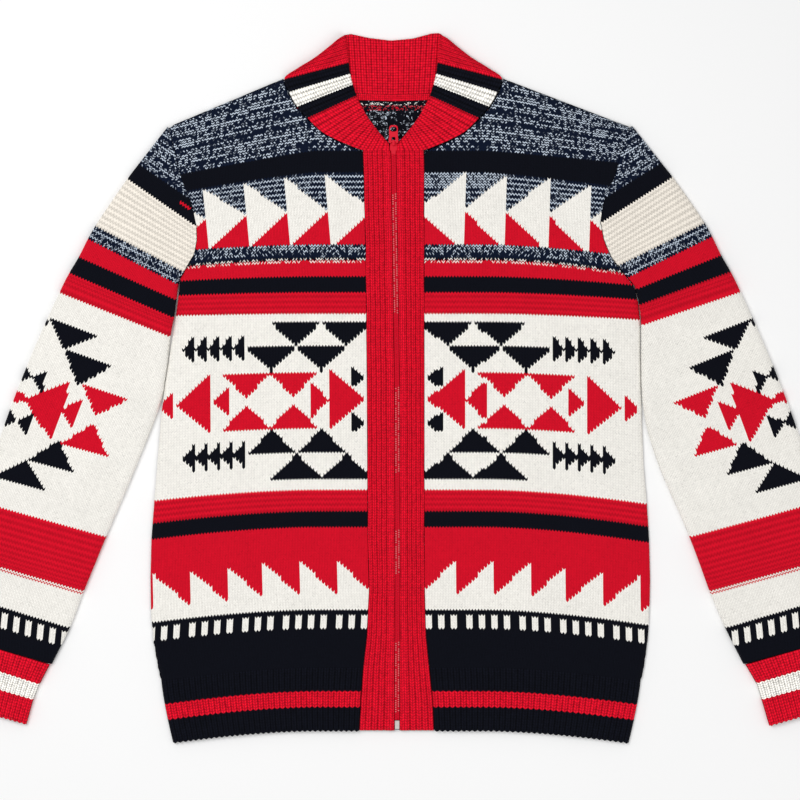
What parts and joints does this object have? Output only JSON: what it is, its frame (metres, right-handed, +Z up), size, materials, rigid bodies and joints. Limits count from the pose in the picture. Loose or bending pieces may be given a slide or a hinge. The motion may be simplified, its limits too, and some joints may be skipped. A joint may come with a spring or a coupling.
{
  "type": "knitted zip cardigan",
  "caption": "Heavy knitted zip cardigan laid flat, with a ribbed stand collar, ribbed hem and cuffs and a patterned body.",
  "frame": {"origin": "middle of the garment's bounding box in plan, on the surface that it lies on", "axes": "+X across the garment from the left sleeve in the picture to the right one, +Y from the hem to the collar, +Z up, away from the surface"},
  "size_m": [0.961, 0.757, 0.0119],
  "materials": {
    "back": "mixed navy and light blue cotton knit",
    "front_left": "patterned cotton knit",
    "front_right": "patterned cotton knit",
    "hem_back": "ribbed cotton knit",
    "hem_left": "ribbed cotton knit",
    "hem_right": "ribbed cotton knit",
    "sleeve_left": "patterned cotton knit",
    "sleeve_right": "patterned cotton knit",
    "cuff_left": "ribbed cotton knit",
    "cuff_right": "ribbed cotton knit",
    "collar": "ribbed cotton knit",
    "neck_tape": "knitted tape",
    "placket_left": "ribbed cotton knit",
    "placket_right": "ribbed cotton knit",
    "zip_tape_left": "woven polyester tape",
    "zip_tape_right": "woven polyester tape",
    "zip_slider": "red enamelled zinc",
    "zip_pull": "red enamelled zinc",
    "zip_box": "moulded plastic"
  },
  "bodies": {
    "garment": {"back": "back", "front_left": "front_left", "front_right": "front_right", "hem_back": "hem_back", "hem_left": "hem_left", "hem_right": "hem_right", "sleeve_left": "sleeve_left", "sleeve_right": "sleeve_right", "cuff_left": "cuff_left", "cuff_right": "cuff_right", "collar": "collar", "neck_tape": "neck_tape", "placket_left": "placket_left", "placket_right": "placket_right", "zip_tape_left": "zip_tape_left", "zip_tape_right": "zip_tape_right", "zip_slider": "zip_slider", "zip_box": "zip_box"},
    "pull_tab": {"zip_pull": "zip_pull"}
  },
  "joints": [
    {"name": "pull_hinge", "type": "hinge", "parent": "garment", "child": "pull_tab", "pos_m": [-0.0069, 0.26195, 0.0099], "axis": [1, 0, 0], "range_deg": [0, 170]}
  ]
}
